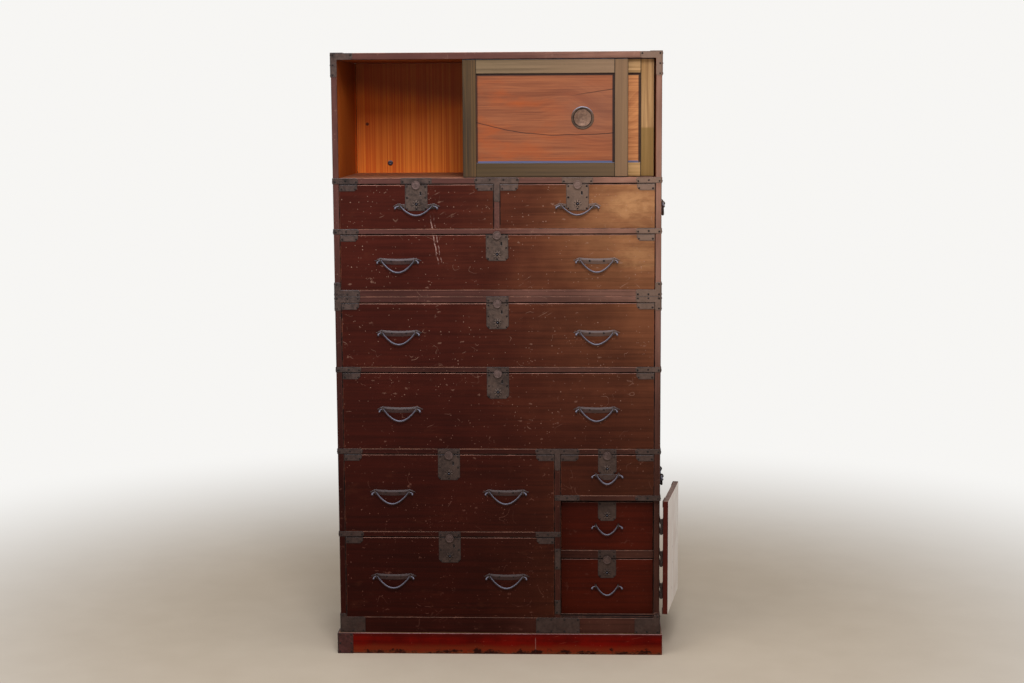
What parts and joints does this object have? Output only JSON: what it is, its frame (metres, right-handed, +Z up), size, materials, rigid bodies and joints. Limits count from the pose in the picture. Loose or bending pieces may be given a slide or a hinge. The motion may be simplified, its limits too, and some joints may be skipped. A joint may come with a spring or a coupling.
{
  "type": "isho clothing chest",
  "caption": "Two stacked lacquered wood chests on a plinth, with sliding doors above, drawers with iron locks and bail handles, and a hinged door over an inner drawer bay.",
  "frame": {"origin": "centre of the plinth's underside, where the chest stands on the floor", "axes": "+Z up; the front with its drawers faces -Y; +X is to the right of a viewer in front"},
  "size_m": [1.037, 0.4554, 1.7756],
  "materials": {
    "base_lacquer": "worn red lacquer",
    "carcass_lacquer": "worn dark red-brown lacquer",
    "drawer_lacquer": "worn dark red-brown lacquer",
    "door_lacquer": "clear lacquer on figured wood",
    "safe_door_lacquer": "dark red lacquer outside, bare inside",
    "plate_iron": "dark forged iron plate",
    "button_iron": "dark forged iron",
    "handle_iron": "dark forged iron, rubbed bright",
    "pull_bronze": "dark patinated bronze"
  },
  "bodies": {
    "lower_chest": {"base_plinth": "base_lacquer", "base_ironwork": "plate_iron", "lower_case": "carcass_lacquer", "lower_case_ironwork": "plate_iron"},
    "upper_chest": {"upper_case": "carcass_lacquer", "upper_case_ironwork": "plate_iron"},
    "front_sliding_door": {"front_sliding_door": "door_lacquer", "front_sliding_door_pull": "pull_bronze"},
    "rear_sliding_door": {"rear_sliding_door": "door_lacquer", "rear_sliding_door_pull": "pull_bronze"},
    "safe_door": {"safe_door": "safe_door_lacquer", "safe_door_ironwork": "plate_iron"},
    "left_small_drawer": {"left_small_drawer_box": "drawer_lacquer", "left_small_drawer_ironwork": "plate_iron"},
    "left_small_drawer_bail": {"left_small_drawer_bail": "handle_iron"},
    "left_small_drawer_button": {"left_small_drawer_button": "button_iron"},
    "right_small_drawer": {"right_small_drawer_box": "drawer_lacquer", "right_small_drawer_ironwork": "plate_iron"},
    "right_small_drawer_bail": {"right_small_drawer_bail": "handle_iron"},
    "right_small_drawer_button": {"right_small_drawer_button": "button_iron"},
    "upper_wide_drawer": {"upper_wide_drawer_box": "drawer_lacquer", "upper_wide_drawer_ironwork": "plate_iron"},
    "upper_wide_drawer_left_bail": {"upper_wide_drawer_left_bail": "handle_iron"},
    "upper_wide_drawer_right_bail": {"upper_wide_drawer_right_bail": "handle_iron"},
    "upper_wide_drawer_button": {"upper_wide_drawer_button": "button_iron"},
    "lower_wide_drawer_high": {"lower_wide_drawer_high_box": "drawer_lacquer", "lower_wide_drawer_high_ironwork": "plate_iron"},
    "lower_wide_drawer_high_left_bail": {"lower_wide_drawer_high_left_bail": "handle_iron"},
    "lower_wide_drawer_high_right_bail": {"lower_wide_drawer_high_right_bail": "handle_iron"},
    "lower_wide_drawer_high_button": {"lower_wide_drawer_high_button": "button_iron"},
    "lower_wide_drawer_low": {"lower_wide_drawer_low_box": "drawer_lacquer", "lower_wide_drawer_low_ironwork": "plate_iron"},
    "lower_wide_drawer_low_left_bail": {"lower_wide_drawer_low_left_bail": "handle_iron"},
    "lower_wide_drawer_low_right_bail": {"lower_wide_drawer_low_right_bail": "handle_iron"},
    "lower_wide_drawer_low_button": {"lower_wide_drawer_low_button": "button_iron"},
    "left_drawer_high": {"left_drawer_high_box": "drawer_lacquer", "left_drawer_high_ironwork": "plate_iron"},
    "left_drawer_high_left_bail": {"left_drawer_high_left_bail": "handle_iron"},
    "left_drawer_high_right_bail": {"left_drawer_high_right_bail": "handle_iron"},
    "left_drawer_high_button": {"left_drawer_high_button": "button_iron"},
    "left_drawer_low": {"left_drawer_low_box": "drawer_lacquer", "left_drawer_low_ironwork": "plate_iron"},
    "left_drawer_low_left_bail": {"left_drawer_low_left_bail": "handle_iron"},
    "left_drawer_low_right_bail": {"left_drawer_low_right_bail": "handle_iron"},
    "left_drawer_low_button": {"left_drawer_low_button": "button_iron"},
    "right_drawer": {"right_drawer_box": "drawer_lacquer", "right_drawer_ironwork": "plate_iron"},
    "right_drawer_bail": {"right_drawer_bail": "handle_iron"},
    "right_drawer_button": {"right_drawer_button": "button_iron"},
    "safe_drawer_high": {"safe_drawer_high_box": "drawer_lacquer", "safe_drawer_high_ironwork": "plate_iron"},
    "safe_drawer_high_bail": {"safe_drawer_high_bail": "handle_iron"},
    "safe_drawer_low": {"safe_drawer_low_box": "drawer_lacquer", "safe_drawer_low_ironwork": "plate_iron"},
    "safe_drawer_low_bail": {"safe_drawer_low_bail": "handle_iron"},
    "safe_drawer_low_button": {"safe_drawer_low_button": "button_iron"},
    "upper_chest_left_handle": {"upper_chest_left_handle": "handle_iron"},
    "upper_chest_right_handle": {"upper_chest_right_handle": "handle_iron"},
    "lower_chest_left_handle": {"lower_chest_left_handle": "handle_iron"},
    "lower_chest_right_handle": {"lower_chest_right_handle": "handle_iron"}
  },
  "joints": [
    {"name": "upper_chest_lift", "type": "slide", "parent": "lower_chest", "child": "upper_chest", "axis": [0, 0, 1], "range_m": [0, 0.15]},
    {"name": "left_small_drawer_slide", "type": "slide", "parent": "upper_chest", "child": "left_small_drawer", "axis": [0, -1, 0], "range_m": [0, 0.33]},
    {"name": "left_small_drawer_bail_hinge", "type": "hinge", "parent": "left_small_drawer", "child": "left_small_drawer_bail", "pos_m": [-0.23305, -0.2296, 1.3347], "axis": [-1, 0, 0], "range_deg": [0, 160]},
    {"name": "left_small_drawer_button_press", "type": "slide", "parent": "left_small_drawer", "child": "left_small_drawer_button", "axis": [0, 1, 0], "range_m": [0, 0.005], "stiffness_N_per_m": 200},
    {"name": "right_small_drawer_slide", "type": "slide", "parent": "upper_chest", "child": "right_small_drawer", "axis": [0, -1, 0], "range_m": [0, 0.33]},
    {"name": "right_small_drawer_bail_hinge", "type": "hinge", "parent": "right_small_drawer", "child": "right_small_drawer_bail", "pos_m": [0.23305, -0.2296, 1.3347], "axis": [-1, 0, 0], "range_deg": [0, 160]},
    {"name": "right_small_drawer_button_press", "type": "slide", "parent": "right_small_drawer", "child": "right_small_drawer_button", "axis": [0, 1, 0], "range_m": [0, 0.005], "stiffness_N_per_m": 200},
    {"name": "upper_wide_drawer_slide", "type": "slide", "parent": "upper_chest", "child": "upper_wide_drawer", "axis": [0, -1, 0], "range_m": [0, 0.33]},
    {"name": "upper_wide_drawer_left_bail_hinge", "type": "hinge", "parent": "upper_wide_drawer", "child": "upper_wide_drawer_left_bail", "pos_m": [-0.2885, -0.2296, 1.17688], "axis": [-1, 0, 0], "range_deg": [0, 160]},
    {"name": "upper_wide_drawer_right_bail_hinge", "type": "hinge", "parent": "upper_wide_drawer", "child": "upper_wide_drawer_right_bail", "pos_m": [0.2885, -0.2296, 1.17688], "axis": [-1, 0, 0], "range_deg": [0, 160]},
    {"name": "upper_wide_drawer_button_press", "type": "slide", "parent": "upper_wide_drawer", "child": "upper_wide_drawer_button", "axis": [0, 1, 0], "range_m": [0, 0.005], "stiffness_N_per_m": 200},
    {"name": "lower_wide_drawer_high_slide", "type": "slide", "parent": "lower_chest", "child": "lower_wide_drawer_high", "axis": [0, -1, 0], "range_m": [0, 0.33]},
    {"name": "lower_wide_drawer_high_left_bail_hinge", "type": "hinge", "parent": "lower_wide_drawer_high", "child": "lower_wide_drawer_high_left_bail", "pos_m": [-0.2885, -0.2296, 0.9659], "axis": [-1, 0, 0], "range_deg": [0, 160]},
    {"name": "lower_wide_drawer_high_right_bail_hinge", "type": "hinge", "parent": "lower_wide_drawer_high", "child": "lower_wide_drawer_high_right_bail", "pos_m": [0.2885, -0.2296, 0.9659], "axis": [-1, 0, 0], "range_deg": [0, 160]},
    {"name": "lower_wide_drawer_high_button_press", "type": "slide", "parent": "lower_wide_drawer_high", "child": "lower_wide_drawer_high_button", "axis": [0, 1, 0], "range_m": [0, 0.005], "stiffness_N_per_m": 200},
    {"name": "lower_wide_drawer_low_slide", "type": "slide", "parent": "lower_chest", "child": "lower_wide_drawer_low", "axis": [0, -1, 0], "range_m": [0, 0.33]},
    {"name": "lower_wide_drawer_low_left_bail_hinge", "type": "hinge", "parent": "lower_wide_drawer_low", "child": "lower_wide_drawer_low_left_bail", "pos_m": [-0.2885, -0.2296, 0.73956], "axis": [-1, 0, 0], "range_deg": [0, 160]},
    {"name": "lower_wide_drawer_low_right_bail_hinge", "type": "hinge", "parent": "lower_wide_drawer_low", "child": "lower_wide_drawer_low_right_bail", "pos_m": [0.2885, -0.2296, 0.73956], "axis": [-1, 0, 0], "range_deg": [0, 160]},
    {"name": "lower_wide_drawer_low_button_press", "type": "slide", "parent": "lower_wide_drawer_low", "child": "lower_wide_drawer_low_button", "axis": [0, 1, 0], "range_m": [0, 0.005], "stiffness_N_per_m": 200},
    {"name": "left_drawer_high_slide", "type": "slide", "parent": "lower_chest", "child": "left_drawer_high", "axis": [0, -1, 0], "range_m": [0, 0.33]},
    {"name": "left_drawer_high_left_bail_hinge", "type": "hinge", "parent": "left_drawer_high", "child": "left_drawer_high_left_bail", "pos_m": [-0.3141, -0.2296, 0.49146], "axis": [-1, 0, 0], "range_deg": [0, 160]},
    {"name": "left_drawer_high_right_bail_hinge", "type": "hinge", "parent": "left_drawer_high", "child": "left_drawer_high_right_bail", "pos_m": [0.0215, -0.2296, 0.49146], "axis": [-1, 0, 0], "range_deg": [0, 160]},
    {"name": "left_drawer_high_button_press", "type": "slide", "parent": "left_drawer_high", "child": "left_drawer_high_button", "axis": [0, 1, 0], "range_m": [0, 0.005], "stiffness_N_per_m": 200},
    {"name": "left_drawer_low_slide", "type": "slide", "parent": "lower_chest", "child": "left_drawer_low", "axis": [0, -1, 0], "range_m": [0, 0.33]},
    {"name": "left_drawer_low_left_bail_hinge", "type": "hinge", "parent": "left_drawer_low", "child": "left_drawer_low_left_bail", "pos_m": [-0.3141, -0.2296, 0.2364], "axis": [-1, 0, 0], "range_deg": [0, 160]},
    {"name": "left_drawer_low_right_bail_hinge", "type": "hinge", "parent": "left_drawer_low", "child": "left_drawer_low_right_bail", "pos_m": [0.0215, -0.2296, 0.2364], "axis": [-1, 0, 0], "range_deg": [0, 160]},
    {"name": "left_drawer_low_button_press", "type": "slide", "parent": "left_drawer_low", "child": "left_drawer_low_button", "axis": [0, 1, 0], "range_m": [0, 0.005], "stiffness_N_per_m": 200},
    {"name": "right_drawer_slide", "type": "slide", "parent": "lower_chest", "child": "right_drawer", "axis": [0, -1, 0], "range_m": [0, 0.33]},
    {"name": "right_drawer_bail_hinge", "type": "hinge", "parent": "right_drawer", "child": "right_drawer_bail", "pos_m": [0.3198, -0.2296, 0.54442], "axis": [-1, 0, 0], "range_deg": [0, 160]},
    {"name": "right_drawer_button_press", "type": "slide", "parent": "right_drawer", "child": "right_drawer_button", "axis": [0, 1, 0], "range_m": [0, 0.005], "stiffness_N_per_m": 200},
    {"name": "safe_drawer_high_slide", "type": "slide", "parent": "lower_chest", "child": "safe_drawer_high", "axis": [0, -1, 0], "range_m": [0, 0.29]},
    {"name": "safe_drawer_high_bail_hinge", "type": "hinge", "parent": "safe_drawer_high", "child": "safe_drawer_high_bail", "pos_m": [0.3198, -0.1956, 0.38385], "axis": [-1, 0, 0], "range_deg": [0, 160]},
    {"name": "safe_drawer_low_slide", "type": "slide", "parent": "lower_chest", "child": "safe_drawer_low", "axis": [0, -1, 0], "range_m": [0, 0.29]},
    {"name": "safe_drawer_low_bail_hinge", "type": "hinge", "parent": "safe_drawer_low", "child": "safe_drawer_low_bail", "pos_m": [0.3198, -0.1956, 0.19985], "axis": [-1, 0, 0], "range_deg": [0, 160]},
    {"name": "safe_drawer_low_button_press", "type": "slide", "parent": "safe_drawer_low", "child": "safe_drawer_low_button", "axis": [0, 1, 0], "range_m": [0, 0.005], "stiffness_N_per_m": 200},
    {"name": "front_sliding_door_slide", "type": "slide", "parent": "upper_chest", "child": "front_sliding_door", "axis": [1, 0, 0], "range_m": [-0.359, 0.0776]},
    {"name": "rear_sliding_door_slide", "type": "slide", "parent": "upper_chest", "child": "rear_sliding_door", "axis": [1, 0, 0], "range_m": [-0.4342, 0.0024]},
    {"name": "safe_door_hinge", "type": "hinge", "parent": "lower_chest", "child": "safe_door", "pos_m": [0.479, -0.224, 0.2941], "axis": [0, 0, 1], "range_deg": [-261, 7]},
    {"name": "upper_chest_left_handle_hinge", "type": "hinge", "parent": "upper_chest", "child": "upper_chest_left_handle", "pos_m": [-0.4856, 0, 1.3318], "axis": [0, 1, 0], "range_deg": [0, 150]},
    {"name": "upper_chest_right_handle_hinge", "type": "hinge", "parent": "upper_chest", "child": "upper_chest_right_handle", "pos_m": [0.4856, 0, 1.3318], "axis": [0, -1, 0], "range_deg": [0, 150]},
    {"name": "lower_chest_left_handle_hinge", "type": "hinge", "parent": "lower_chest", "child": "lower_chest_left_handle", "pos_m": [-0.4856, 0, 0.507], "axis": [0, 1, 0], "range_deg": [0, 150]},
    {"name": "lower_chest_right_handle_hinge", "type": "hinge", "parent": "lower_chest", "child": "lower_chest_right_handle", "pos_m": [0.4856, 0, 0.507], "axis": [0, -1, 0], "range_deg": [0, 150]}
  ]
}
